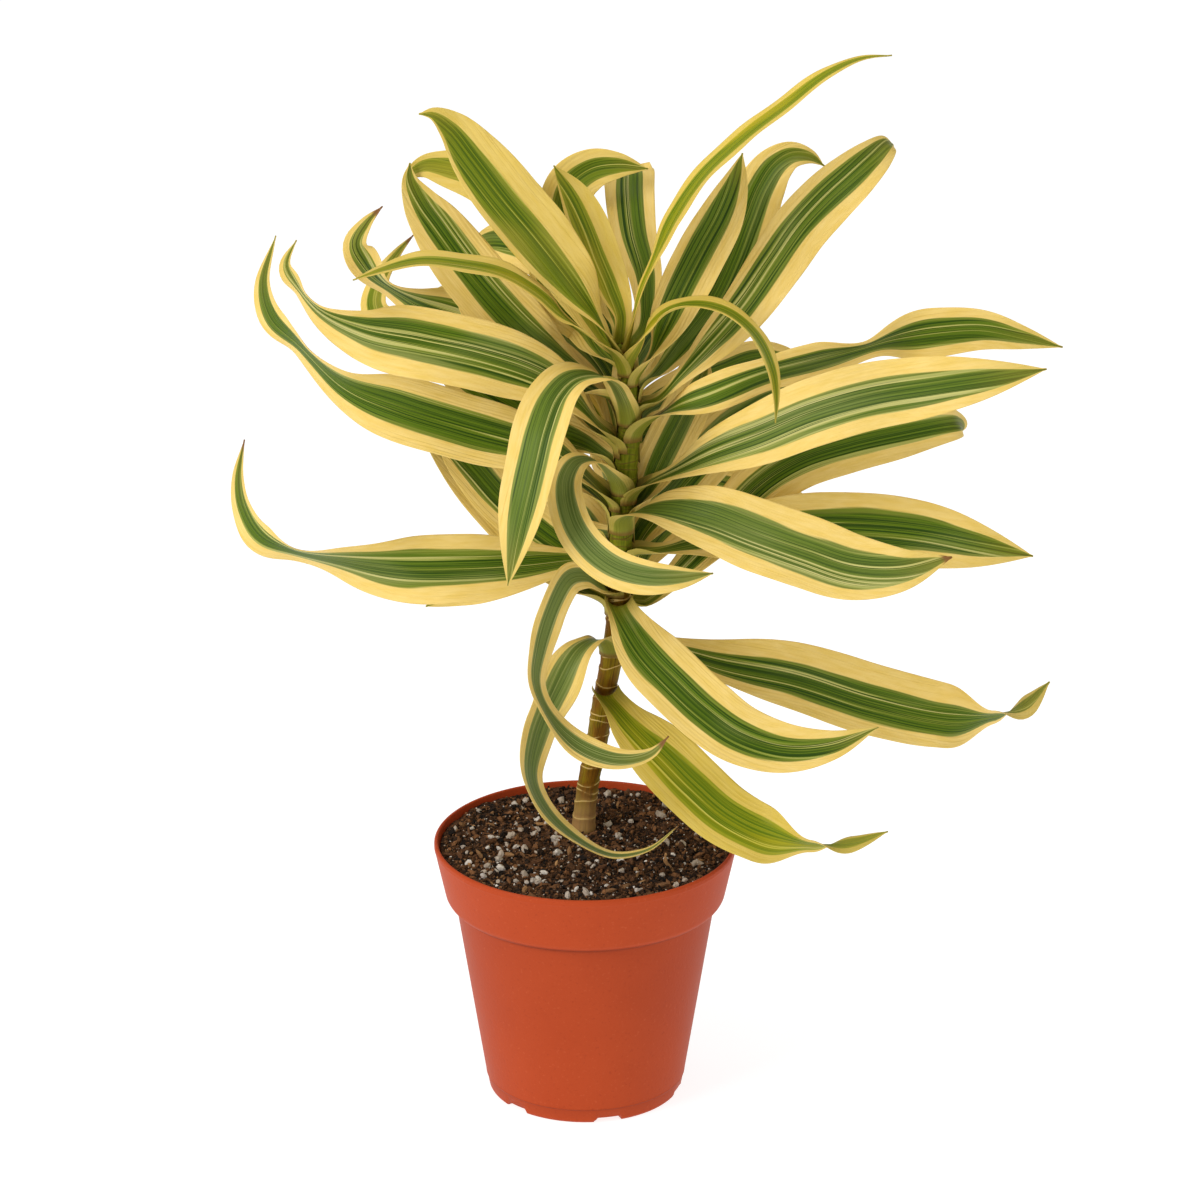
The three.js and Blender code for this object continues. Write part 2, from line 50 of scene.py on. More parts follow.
# The pot: a plain 6 inch grower pot with a deep collar. A ring of shallow notches runs round its foot.
POT_HEIGHT = 135
COLLAR_HEIGHT = 30
RIM_RADIUS = 76
COLLAR_FOOT_RADIUS = 70.3
BODY_TOP_RADIUS = 65.8
FOOT_RADIUS = 48.4
WALL = 1.7
FLOOR_TOP = 5
FOOT_RING_HEIGHT = 3
CENTRE_DISC_RADIUS = 30
GROOVE_OUTER_RADIUS = 42
NOTCH_COUNT = 6
NOTCH_WIDTH = 14
FIRST_NOTCH_DEG = -76
NOTCH_EDGE = 0.8  # the slope at each end of a notch
MOULD_LINE_HEIGHT = 8.5
POT_SIDES = 288

SOIL_LEVEL = 132.4
SOIL_MARGIN = 0.6  # from the mix to the wall of the pot's body
SOIL_COLLAR_MARGIN = 1  # and to the wall of its collar
SOIL_FLOOR_GAP = 0.3
SOIL_SIDES = 240
SOIL_RINGS = 76

# The stem's middle line from its buried foot to the growing tip, and the heights of its bare leaf scars.
STEM_RADIUS = 5.65
STEM_ROUTE = [
    [-1, 21, 91], [-1, 21, 132], [2, 20, 159], [6, 19, 181], [9, 18, 203], [13, 17, 225], [16, 16, 247],
    [17.5, 15, 275], [18, 14, 301], [20, 12, 322], [21, 11, 339], [22, 10, 355], [22.2, 9, 368], [20, 8, 381],
    [17, 8, 394],
]
STEM_TAPER_FROM = 345
STEM_TIP_RADIUS = 2.4
BARE_STEM_SCARS = [140, 148.2, 153.7, 158, 166.5, 175, 184.2, 192.8, 197.6, 205.7, 212.6, 223]
SCAR_BELOW_NODE = 1.5
SCAR_WIDTH = 0.42
GREEN_STEM_FROM = 273
STEM_STEP = 0.5  # from ring to ring
STEM_SIDES = 48

BLADE_THICK = 0.62
BLADE_ROWS = 110
BLADE_SIDES = 30
TIP_WIDTH = 0.9
BASE_WRAP_DEG = 84  # how far a leaf base reaches round the stem, each way
NECK_DEG = 46  # the same for the neck that the blade widens from
CHANNEL_DEG = 13  # the same for the shallow channel of the open blade
BASE_CLEARANCE = 0.92  # stem surface to the middle of a leaf base
BASE_RISE = 3  # unless its row says less
BASE_OPENS = (1, 26)  # the arc of the base opens between these distances along the midrib
WIDEST_AT = 0.52  # unless its row has a peak
MIDRIB_DEPTH = 0.35
MIDRIB_SHARE = 0.1  # of the half width
RIPPLE_SHARE = 0.032  # of the half width
RIPPLE_LENGTHS = (34, 52)
FIRST_LEAF_SEED = 700
LIGHT_SIDE = np.array([0.05, -0.86, 0.5]) / math.hypot(0.05, 0.86, 0.5)  # upper faces turn this way

# One row for each leaf, roughly from the lowest to the growing tip. node is the height and compass angle of
# its base on the stem, rise how far the base climbs the stem, wide its width, peak the fraction of its length
# where it is widest, turn its twist in degrees at fractions of its length, light the share by which it turns
# to the light, and route the points that its midrib passes through.
LEAVES = [
    {"node": [207, -86], "rise": 0.8, "wide": 33, "peak": 0.3,
     "turn": [[0.6, 0], [0.78, 80], [0.9, 140], [1, 150]],
     "route": [[11, 5, 208.5], [15, -1, 206.5], [24, -9, 199], [39, -18, 187], [53, -26, 175], [70, -33, 162],
         [90, -37, 153], [113, -39, 149], [131, -40, 150], [150, -41, 157]]},
    {"node": [229, -110], "wide": 23, "peak": 0.34, "turn": [[0.15, 0], [0.35, -42], [0.55, -62], [1, -72]],
     "route": [[7, 4, 241], [-3, -9, 241], [-14, -21, 225], [-24, -31, 204], [-27, -37, 185], [-20, -41, 169],
         [-5, -45, 155], [14, -46, 146], [32, -45, 149], [46, -43, 161]]},
    {"node": [233, 15], "wide": 37, "turn": [[0.72, 0], [0.85, 80], [0.94, 150], [1, 160]],
     "route": [[35, 20, 233], [65, 22, 223], [105, 28, 212], [145, 32, 197], [185, 35, 187], [210, 36, 188],
         [222, 36, 192], [234, 35, 206]]},
    {"node": [261, -150], "wide": 19, "turn": [[0.15, 0], [0.38, -42], [0.6, -64], [0.8, -24], [1, -20]],
     "route": [[6, -3, 273], [0, -14, 282], [-8, -26, 285], [-15, -36, 276], [-22, -44, 256], [-24, -49, 239],
         [-17, -55, 224], [-3, -60, 211], [16, -63, 205], [32, -63, 208], [41, -62, 217]]},
    {"node": [256, -88], "rise": 0.8, "wide": 33, "peak": 0.29,
     "route": [[17, 2, 258.5], [20, -6, 256], [30, -18, 244], [44, -28, 232], [59, -36, 220], [76, -41, 209],
         [98, -44, 203], [121, -45, 205], [144, -46, 215]]},
    {"node": [251, 152], "wide": 28,
     "route": [[-6, 29, 261], [-22, 35, 276], [-37, 39, 292], [-50, 41, 307], [-63, 43, 322], [-76, 44, 336],
         [-84, 44, 345]]},
    {"node": [250, 64], "wide": 30,
     "route": [[22, 34, 261], [34, 60, 275], [50, 90, 279], [66, 118, 267], [76, 140, 245]]},
    {"node": [253, 20], "wide": 29,
     "route": [[30, 18, 256], [45, 22, 268], [66, 25, 290], [86, 28, 313], [106, 30, 326], [131, 32, 334],
         [159, 34, 340], [181, 35, 344], [187, 45, 340], [188, 60, 330]]},
    {"node": [261, 110], "wide": 30,
     "route": [[11, 36, 267], [2, 62, 275], [-8, 92, 274], [-16, 118, 259], [-22, 138, 237]]},
    {"node": [267, 150], "wide": 28,
     "route": [[2, 21, 275], [-23, 28, 291], [-41, 32, 306], [-54, 34, 321], [-67, 36, 335], [-80, 36, 345]]},
    {"node": [270, 52], "wide": 30,
     "route": [[27, 29, 287], [40, 33, 304], [55, 33, 323], [71, 34, 341], [86, 35, 352], [97, 36, 358],
         [103, 42, 361], [106, 52, 358]]},
    {"node": [276, -165], "wide": 35, "peak": 0.32, "turn": [[0.32, 0], [0.69, -86], [0.8, -58], [1, -55]],
     "route": [[0, 8, 282], [-30, 0, 282], [-60, -4, 282], [-90, -6, 283], [-118, -6, 287], [-145, -4, 292],
         [-160, -2, 299], [-168, 0, 313], [-170, 2, 327], [-167, 4, 347]]},
    {"node": [279, -5], "wide": 37,
     "route": [[36, 14, 284], [60, 13, 290], [95, 12, 296], [130, 12, 297], [165, 12, 294], [195, 12, 288],
         [222, 11, 283]]},
    {"node": [285, 118], "wide": 30,
     "route": [[4, 38, 284], [-19, 59, 266], [-40, 78, 251], [-64, 92, 235], [-82, 100, 221]]},
    {"node": [289, 78], "wide": 30,
     "route": [[19, 47, 304], [48, 66, 299], [80, 83, 287], [111, 95, 270], [138, 103, 252]]},
    {"node": [295, -72], "wide": 37,
     "route": [[20, 3, 305], [27, -7, 314], [41, -15, 318], [61, -25, 317], [83, -33, 311], [107, -41, 305],
         [130, -46, 299], [153, -49, 299], [178, -50, 306]]},
    {"node": [294, 88], "wide": 30,
     "route": [[20, 36, 307], [20, 62, 316], [18, 94, 310], [15, 123, 291], [13, 143, 266]]},
    {"node": [300, 135], "wide": 30,
     "route": [[0, 34, 313], [-30, 56, 325], [-62, 75, 331], [-95, 90, 333], [-120, 98, 329]]},
    {"node": [302, 20], "wide": 24,
     "route": [[30, 17, 315], [38, 19, 333], [47, 21, 351], [55, 23, 367], [61, 24, 382]]},
    {"node": [307, 178], "wide": 34, "peak": 0.36, "turn": [[0.4, 0], [0.73, -84], [0.84, -56], [1, -50]],
     "route": [[5, 11, 320], [-15, 8, 339], [-37, 6, 346], [-60, 5, 353], [-90, 5, 363], [-118, 6, 375],
         [-141, 8, 397], [-152, 10, 408], [-156, 11, 425], [-150, 13, 449]]},
    {"node": [311, -20], "wide": 34,
     "route": [[30, 8, 321], [45, 1, 332], [62, -7, 344], [85, -17, 357], [110, -25, 371], [138, -32, 382],
         [168, -37, 389], [195, -39, 394], [222, -40, 399]]},
    {"node": [318, 104], "wide": 30,
     "route": [[22, 44, 333], [52, 66, 335], [86, 84, 330], [117, 95, 323], [145, 101, 313]]},
    {"node": [316, -118], "wide": 19, "light": 0.5, "peak": 0.64,
     "route": [[13, 1, 329], [5, -7, 340], [-4, -17, 343], [-9, -30, 339], [-9, -42, 332], [-5, -52, 322],
         [3, -60, 313], [15, -66, 306], [30, -70, 303], [47, -70, 303], [62, -69, 305]]},
    {"node": [321, 104], "wide": 22, "turn": [[0.6, 0], [0.75, -40], [1, -40]],
     "route": [[10, 38, 337], [-8, 58, 353], [-41, 72, 362], [-70, 82, 371], [-95, 86, 375], [-105, 87, 388],
         [-102, 87, 402], [-94, 87, 415], [-85, 87, 426]]},
    {"node": [325, 145], "wide": 28,
     "route": [[2, 27, 335], [-15, 34, 340], [-33, 37, 350], [-50, 40, 360], [-66, 43, 370], [-80, 47, 377]]},
    {"node": [332, 95], "wide": 30,
     "route": [[18, 32, 346], [14, 58, 359], [8, 88, 356], [2, 114, 340], [-3, 134, 315]]},
    {"node": [336, 152], "wide": 28, "turn": [[0.5, 0], [0.74, -84], [0.86, -35], [1, -30]],
     "route": [[3, 22, 349], [-12, 35, 367], [-30, 47, 382], [-60, 57, 391], [-85, 61, 400], [-102, 63, 410],
         [-109, 64, 419], [-113, 65, 428], [-108, 66, 438], [-100, 66, 447]]},
    {"node": [339, -175], "wide": 36, "peak": 0.44, "turn": [[0.5, 0], [0.86, -84], [0.93, -56], [1, -50]],
     "route": [[6, 8, 353], [-8, 3, 371], [-25, -1, 383], [-50, -5, 393], [-80, -8, 401], [-108, -10, 408],
         [-128, -10, 418], [-139, -9, 431], [-144, -8, 441], [-139, -6, 453]]},
    {"node": [345, -30], "wide": 27,
     "turn": [[0.05, 0], [0.2, 52], [0.46, 58], [0.57, 80], [0.72, 22], [1, 12]],
     "route": [[32, 6, 355], [45, 4, 364], [62, 1, 372], [85, 1, 382], [112, -3, 391], [135, -6, 398],
         [150, -7, 403], [172, -8, 407], [192, -8, 408], [212, -8, 404], [232, -8, 399]]},
    {"node": [344, 76], "wide": 23,
     "route": [[30, 36, 352], [52, 54, 357], [70, 66, 360], [86, 74, 363], [102, 80, 359], [120, 86, 347]]},
    {"node": [349, 110], "wide": 30,
     "route": [[10, 44, 371], [-14, 74, 385], [-50, 97, 386], [-84, 106, 373], [-108, 112, 357]]},
    {"node": [353, -105], "wide": 30, "light": 0.5,
     "route": [[18, -2, 369], [13, -8, 381], [5, -14, 387], [-6, -24, 389], [-15, -37, 384], [-21, -50, 372],
         [-25, -58, 357], [-29, -65, 341], [-33, -69, 323], [-37, -70, 299]]},
    {"node": [356.5, 4], "wide": 28, "peak": 0.6,
     "route": [[36, 11, 364], [47, 12, 376], [60, 13, 390], [78, 15, 411], [93, 15, 434], [105, 13, 453],
         [117, 10, 468], [129, 9, 480], [139, 11, 489], [146, 19, 493], [150, 33, 489]]},
    {"node": [359.5, 172], "wide": 26,
     "route": [[3, 24, 365], [-15, 32, 370], [-32, 38, 380], [-44, 41, 392], [-56, 43, 409], [-66, 45, 425]]},
    {"node": [354, 98], "wide": 28,
     "route": [[21, 34, 369], [33, 60, 383], [40, 90, 383], [46, 115, 367], [50, 132, 345]]},
    {"node": [366, 40], "wide": 28,
     "route": [[36, 26, 374], [49, 31, 390], [63, 33, 409], [73, 36, 430], [80, 38, 449], [86, 39, 465],
         [93, 40, 476], [101, 41, 481], [110, 42, 480], [117, 43, 475]]},
    {"node": [368, 172], "wide": 32,
     "route": [[5, 18.5, 373.5], [-9, 23, 379.5], [-24, 21, 392], [-40, 22, 408], [-58, 23, 430],
         [-72, 24, 450], [-80, 24, 462], [-85, 26, 473], [-85, 29, 481]]},
    {"node": [374, -15], "wide": 25,
     "route": [[32, 8, 387], [38, 5, 402], [48, 4, 425], [57, 3, 444], [66, 2, 462], [72, 2, 478],
         [76, 3, 494]]},
    {"node": [371, 90], "wide": 28,
     "route": [[19, 28, 385], [5, 56, 405], [-20, 82, 417], [-44, 102, 418], [-60, 117, 410]]},
    {"node": [379, -135], "wide": 26, "turn": [[0.1, 0], [0.3, 58], [1, 56]],
     "route": [[13, 1, 393], [2, -6, 404], [-10, -13, 416], [-24, -22, 432], [-40, -30, 444], [-58, -38, 451],
         [-78, -45, 455], [-95, -51, 453], [-110, -55, 449]]},
    {"node": [378, 143], "wide": 22,
     "route": [[8, 21, 386], [-1, 38, 395], [-11, 35, 405], [-20, 38, 420], [-26, 40, 434]]},
    {"node": [382, -60], "wide": 24, "turn": [[0.15, 0], [0.35, -60], [1, -64]],
     "route": [[25.5, -1, 395], [31, -8, 409], [41, -17, 421], [55, -30, 428], [70, -44, 428], [82, -56, 420],
         [89, -65, 407], [91, -70, 394], [91, -72, 383]]},
    {"node": [385, 128], "wide": 28,
     "route": [[9, 13, 395], [-1, 18, 411], [-17, 24, 439], [-35, 28, 463], [-51, 30, 473], [-66, 31, 477],
         [-78, 32, 478], [-85, 32, 474], [-87, 31, 469]]},
    {"node": [387, -160], "wide": 32,
     "route": [[12, 3, 398], [6, 0, 412], [-6, -4, 433], [-22, -8, 456], [-38, -11, 477], [-52, -13, 497],
         [-63, -14, 512], [-72, -15, 519], [-79, -15, 519]]},
    {"node": [388, 52], "wide": 25,
     "route": [[29, 18, 401], [30, 28, 421], [24, 43, 441], [22, 57, 456], [22, 73, 462], [21, 91, 454],
         [20, 108, 432], [19, 118, 407]]},
    {"node": [391, -10], "wide": 21, "turn": [[0.1, 0], [0.3, -60], [1, -56]],
     "route": [[23, 4, 403], [26, -3, 422], [33, -9, 442], [44, -14, 468], [58, -17, 490], [76, -18, 508],
         [97, -18, 525], [116, -18, 540], [131, -18, 547], [146, -18, 549]]},
    {"node": [393, 92], "wide": 26,
     "route": [[16, 25, 402], [9, 30, 421], [-4, 39, 438], [-10, 44, 449], [-7, 47, 463], [3, 49, 471],
         [16, 50, 473], [31, 51, 471]]},
    {"node": [395, 70], "wide": 20,
     "route": [[19, 12, 408], [14, 12, 423], [8, 12, 438], [2, 13, 454], [-5, 14, 469], [-15, 15, 484]]},
]

# What single leaves have of their own, by number: how young and yellow-green, how far the green lies to one
# side, how far painted sheen makes the green pale and grey, and where a dry tip starts.
YOUNG = {1: 1, 2: 0.1, 24: 0.5, 40: 0.75, 41: 0.4, 42: 1, 43: 0.6, 44: 0.5, 46: 1, 47: 0.35, 48: 0.75}
LEAN = {3: -0.12, 33: 0.12, 38: 0.14, 44: 0.26, 48: 0.3}
SHEEN_SHARE = {2: 0.7, 4: 0.8, 16: 0.3, 21: 0.15, 23: 0.8, 32: 0.25}
DRY_FROM = {2: 0.985, 4: 0.965, 12: 0.98, 16: 0.975, 24: 0.97, 27: 0.97}
NEVER_DRY = 1.2  # past the tip

# ------------------------------------------------------------------ curves and meshes


def curve_through(points):
    """Dense points of the smooth curve through the given ones. Each span is a cubic whose end speeds follow
    from the square roots of the distances to its neighbours, as in a centripetal spline."""
    p = np.asarray(points, float)
    p = np.vstack([2 * p[0] - p[1], p, 2 * p[-1] - p[-2]])
    before, start, end, after = p[:-3], p[1:-2], p[2:-1], p[3:]
    d0 = np.sqrt(np.linalg.norm(start - before, axis=1))[:, None]
    d1 = np.sqrt(np.linalg.norm(end - start, axis=1))[:, None]
    d2 = np.sqrt(np.linalg.norm(after - end, axis=1))[:, None]
    v0 = ((start - before) / d0 - (end - before) / (d0 + d1) + (end - start) / d1) * d1
    v1 = ((end - start) / d1 - (after - start) / (d1 + d2) + (after - end) / d2) * d1
    t = np.linspace(0, 1, CURVE_STEPS, endpoint=False)[None, :, None]
    a, b, c, d = start[:, None], end[:, None], v0[:, None], v1[:, None]
    spans = a + c * t + (3 * (b - a) - 2 * c - d) * t**2 + (2 * (a - b) + c + d) * t**3
    return np.vstack([spans.reshape(-1, 3), p[-2]])


def evenly_along(points, count):
    """The same path as count points at equal distances, with its whole length."""
    reach = np.concatenate([[0], np.cumsum(np.linalg.norm(np.diff(points, axis=0), axis=1))])
    stops = np.linspace(0, reach[-1], count)
    return np.stack([np.interp(stops, reach, points[:, i]) for i in range(3)], axis=1), reach[-1]


def unit(v):
    """Each vector divided by its length."""
    return v / np.linalg.norm(v, axis=-1, keepdims=True)


def ease(x, low, high):
    """0 below low, 1 above high, and between them 3t^2 - 2t^3 of the fraction t of the way."""
    t = np.clip((x - low) / (high - low), 0, 1)
    return t * t * (3 - 2 * t)


def blend(a, b, t):
    """The value a fraction t of the way from a to b."""
    return a + (b - a) * t


def carried_along(tangents, across):
    """The sideways direction at every row of a path. From row to row it makes the turn that takes the last
    tangent to the next by the shortest way, so it never spins about the path."""
    out = np.empty_like(tangents)
    last = tangents[0]
    for i, now in enumerate(tangents):
        axis = np.cross(last, now)
        across = across + np.cross(axis, across) + np.cross(axis, np.cross(axis, across)) / (1 + last @ now)
        across = unit(across - now * (across @ now))
        out[i] = across
        last = now
    return out


def turned(v, axis, angle):
    """Each row of v turned about that row's axis by its angle (Rodrigues' formula)."""
    c, s = np.cos(angle)[:, None], np.sin(angle)[:, None]
    return v * c + np.cross(axis, v) * s + axis * np.sum(axis * v, axis=1, keepdims=True) * (1 - c)


def new_piece(name, corners, faces, material, values=None, smooth=True):
    """A mesh piece from corner points in millimetres and faces, with per-point values for its material."""
    mesh = bpy.data.meshes.new(name)
    mesh.from_pydata((corners * MM).tolist(), [], faces)
    mesh.polygons.foreach_set("use_smooth", np.full(len(mesh.polygons), smooth))
    for label, numbers in (values or {}).items():
        layer = mesh.attributes.new(label, "FLOAT", "POINT")
        layer.data.foreach_set("value", np.ascontiguousarray(numbers, np.float32).ravel())
    mesh.materials.append(material)
    mesh.update()
    piece = bpy.data.objects.new(name, mesh)
    bpy.context.scene.collection.objects.link(piece)
    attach(piece, "root")
    return piece


def grid_faces(rows, columns):
    """Four-sided faces of a grid of rows by columns, whose last column meets the first."""
    here = np.arange(rows - 1)[:, None] * columns
    above = here + columns
    j = np.arange(columns)[None, :]
    k = (j + 1) % columns
    return np.stack([here + j, here + k, above + k, above + j], axis=-1).reshape(-1, 4).tolist()


def end_faces(rows, columns):
    """The two many-sided faces that close a tube of such a grid at its first and last row."""
    return [list(range(columns - 1, -1, -1)), list(range((rows - 1) * columns, rows * columns))]


# ------------------------------------------------------------------ shader maths


def colour(red, green, blue):
    """A colour as seen on a screen, 0 to 255, as the light-linear values a shader takes."""
    c = np.array([red, green, blue]) / 255
    return (*np.where(c < 0.04045, c / 12.92, ((c + 0.055) / 1.055) ** 2.4), 1.0)


class Flow:
    """One output of a material's node tree, which can be used in plain arithmetic."""

    def __init__(self, finish, socket):
        self.finish = finish
        self.socket = socket

    def maths(self, operation, other=0.0, swapped=False):
        """One Math node on this value and another, which may stand first."""
        pair = (other, self) if swapped else (self, other)
        return self.finish.node("ShaderNodeMath", {"operation": operation}, {0: pair[0], 1: pair[1]})

    def __add__(self, other):
        return self.maths("ADD", other)

    __radd__ = __add__

    def __sub__(self, other):
        return self.maths("SUBTRACT", other)

    def __rsub__(self, other):
        return self.maths("SUBTRACT", other, swapped=True)

    def __mul__(self, other):
        return self.maths("MULTIPLY", other)

    __rmul__ = __mul__

    def size(self):
        return self.maths("ABSOLUTE")

    def over(self, low, high):
        """0 below low, 1 above high and a soft step between them. With low above high it falls instead."""
        settings = {"interpolation_type": "SMOOTHSTEP"}
        inputs = {"Value": self, "From Min": low, "From Max": high}
        return self.finish.node("ShaderNodeMapRange", settings, inputs)


class Finish:
    """A material under construction. What is the same all over goes straight on the shader's own sockets."""

    def __init__(self, name, **steady):
        self.material = bpy.data.materials.new(name)
        self.material.use_nodes = True
        self.tree = self.material.node_tree
        self.shell = self.tree.nodes["Principled BSDF"]
        for label, value in steady.items():
            self.shell.inputs[label.replace("_", " ")].default_value = value

    def node(self, kind, settings=None, inputs=None, output=0):
        """A new node: its settings are made first, then its sockets get their values or links."""
        made = self.tree.nodes.new(kind)
        for label, value in (settings or {}).items():
            setattr(made, label, value)
        for label, value in (inputs or {}).items():
            if isinstance(value, Flow):
                self.tree.links.new(value.socket, made.inputs[label])
            else:
                made.inputs[label].default_value = value
        return Flow(self, made.outputs[output])

    def value(self, label):
        """A number that the mesh carries at each of its points."""
        return self.node("ShaderNodeAttribute", {"attribute_name": label}, output="Fac")

    def place(self):
        """Where a point lies on its piece, in metres."""
        return self.node("ShaderNodeTexCoord", output="Object")

    def together(self, x, y, z):
        """Three numbers as one vector."""
        return self.node("ShaderNodeCombineXYZ", None, {0: x, 1: y, 2: z})

    def noise(self, vector, scale=1.0, detail=2.0, roughness=0.5):
        inputs = {"Vector": vector, "Scale": scale, "Detail": detail, "Roughness": roughness}
        return self.node("ShaderNodeTexNoise", None, inputs)

    def mix(self, mask, first, second):
        """The first colour where the mask is 0 and the second where it is 1."""
        settings = {"data_type": "RGBA", "clamp_factor": True}
        return self.node("ShaderNodeMix", settings, {0: mask, 6: first, 7: second}, output=2)

    def bump(self, height, distance, strength):
        inputs = {"Height": height, "Distance": distance, "Strength": strength}
        return self.node("ShaderNodeBump", None, inputs)

    def paint(self, **links):
        """The finished material, with what changes over the surface linked to the shader."""
        for label, value in links.items():
            self.tree.links.new(value.socket, self.shell.inputs[label.replace("_", " ")])
        return self.material


def leaf_finish():
    """A waxy blade: cream margins of uneven width, a green middle split lengthwise into many fine parallel
    streaks, a greyer underside, an olive clasping base and, on some leaves, a dry tip. A young leaf is more
    yellow-green, and on some leaves painted sheen makes the green paler and greyer, each by its own share;
    lean moves the green to a side. Soft patches paint more sheen on the grown green and a yellow glow on the
    young.
    The streaks are noises stretched some hundred times along the blade, in its own millimetres."""
    f = Finish("leaf_variegated", Specular_IOR_Level=0.16)
    across = f.value("across")
    along = f.value("along")
    reach = f.value("reach")
    breadth = f.value("breadth")
    seed = f.value("seed")
    under = f.value("under")
    young = f.value("young")
    pale = f.value("pale")
    sideways = across * breadth
    lengthwise = along * reach
    fine = f.noise(f.together(sideways * 1.6, lengthwise * 0.006, seed * 31), 1.0, 3.0, 0.6)
    broad = f.noise(f.together(sideways * 0.45, lengthwise * 0.0045, seed * 17 + 5), 1.0, 1.0, 0.4)
    drift = f.noise(f.together(across * 1.3, lengthwise * 0.011, seed * 53), 1.0, 2.0)
    mottle = f.noise(f.together(sideways * 0.5, lengthwise * 0.09, seed * 7), 1.0, 3.0)

    shifted = (across - f.value("lean")).size()
    edge = 0.3 + 0.48 * drift + 0.04 * broad
    outer = (shifted - edge + 0.035 * fine).over(-0.022, 0.022)
    near_edge = (shifted - edge + 0.16 * broad).over(-0.085, -0.035)

    def leaf_green(dark, middle, light, streak):
        """Dark and middle green in fine streaks, with lighter bands, thin pale streaks and a lighter edge."""
        green = f.mix(fine.over(0.36, 0.6), dark, middle)
        green = f.mix(broad.over(0.5, 0.66) * fine.over(0.42, 0.56), green, light)
        green = f.mix((broad * 0.6 + fine * 0.4).over(0.59, 0.63) * 0.7, green, streak)
        return f.mix(near_edge * 0.5, green, light)

    grown = leaf_green(colour(40, 68, 2), colour(94, 118, 18), colour(142, 150, 54), colour(214, 206, 124))
    fresh = leaf_green(colour(92, 116, 4), colour(140, 146, 16), colour(178, 172, 44), colour(212, 202, 92))
    sheen_greens = (colour(92, 110, 44), colour(124, 136, 68), colour(168, 168, 104), colour(216, 206, 142))
    sheen = leaf_green(*sheen_greens)
    # Painted sheen: soft cloudy patches of grey sheen on the grown green and of yellow glow on the young
    # green; the pale value paints sheen over a leaf's whole green.
    cloud = f.noise(f.together(across * 0.9, lengthwise * 0.014, seed * 97), 1.0, 1.0)
    sheen_glow = cloud.over(0.5, 0.7)
    fresh = f.mix(sheen_glow * 0.6, fresh, colour(198, 176, 34))
    green = f.mix(pale, f.mix(young, f.mix(sheen_glow * 0.5, grown, sheen), fresh), sheen)
    cream = f.mix(mottle.over(0.15, 0.85), colour(236, 200, 100), colour(246, 214, 130))
    cream = f.mix(fine.over(0.5, 0.75) * 0.1, cream, colour(212, 186, 88))
    cream = f.mix(young * 0.5, cream, colour(206, 182, 46))
    blade = f.mix(outer, green, cream)
    blade = f.mix(under * 0.26, blade, colour(160, 154, 84))
    blade = f.mix(along.over(0.8, 1.0) * 0.35, blade, colour(158, 142, 44))
    blade = f.mix(along.over(0.13, 0.03) * 0.62, blade, colour(136, 134, 26))
    blade = f.mix(along.over(0.016, 0.004) * 0.75, blade, colour(128, 92, 42))
    dry = along - f.value("dry") + 0.02 * mottle
    blade = f.mix(dry.over(0.0, 0.02), blade, colour(134, 92, 48))
    veins = f.noise(f.together(sideways * 1.1, lengthwise * 0.004, seed * 3), 1.0, 1.0)
    return f.paint(
        Base_Color=blade,
        Roughness=0.4 + 0.16 * mottle + under * 0.1,
        Normal=f.bump(veins + mottle * 0.12, 0.0012, 0.5),
    )


def plastic_finish():
    """Terracotta-coloured moulded plastic with a faint cloudiness, fine pits, and painted shade under the
    collar and along the mould line.
    """
    f = Finish("pot_plastic", Specular_IOR_Level=0.1)
    place = f.place()
    cloud = f.noise(place, 22.0, 4.0, 0.6)
    speck = f.noise(place, 620.0, 2.0)
    base = f.mix(cloud.over(0.2, 0.8), colour(178, 68, 30), colour(185, 73, 34))
    base = f.mix(speck.over(0.62, 0.74) * 0.35, base, colour(198, 92, 54))
    base = f.mix(speck.over(0.38, 0.28) * 0.3, base, colour(152, 54, 26))
    # Painted shade: darker in the crease under the collar and along the mould line.
    base = f.mix(f.value("crease") * 0.7, base, colour(112, 38, 18))
    return f.paint(
        Base_Color=base,
        Roughness=0.4 + 0.16 * cloud + 0.05 * speck,
        Normal=f.bump(speck * 0.6 + cloud, 0.0004, 0.35),
    )


def soil_finish():
    """Damp peat: near black to warm brown, rough at every scale."""
    f = Finish("peat", Specular_IOR_Level=0.2)
    place = f.place()
    lumps = f.noise(place, 160.0, 4.0, 0.65)
    fibres = f.noise(place, 700.0, 3.0, 0.7)
    base = f.mix(lumps.over(0.35, 0.65), colour(22, 13, 6), colour(98, 64, 38))
    base = f.mix(fibres.over(0.57, 0.66) * 0.85, base, colour(158, 120, 82))
    rough = f.bump(fibres + lumps, 0.0016, 0.9)
    return f.paint(Base_Color=base, Roughness=0.82 + 0.15 * fibres, Normal=rough)


def grain_finish(name, low, high):
    """A crumb whose colour differs from grain to grain and a little within each."""
    f = Finish(name, Specular_IOR_Level=0.25)
    place = f.place()
    fine = f.noise(place, 900.0, 3.0, 0.7)
    tone = f.value("tone")
    base = f.mix(tone * tone + (fine - 0.5) * 0.8, low, high)
    return f.paint(Base_Color=base, Roughness=0.75 + 0.2 * fine, Normal=f.bump(fine, 0.0008, 0.8))


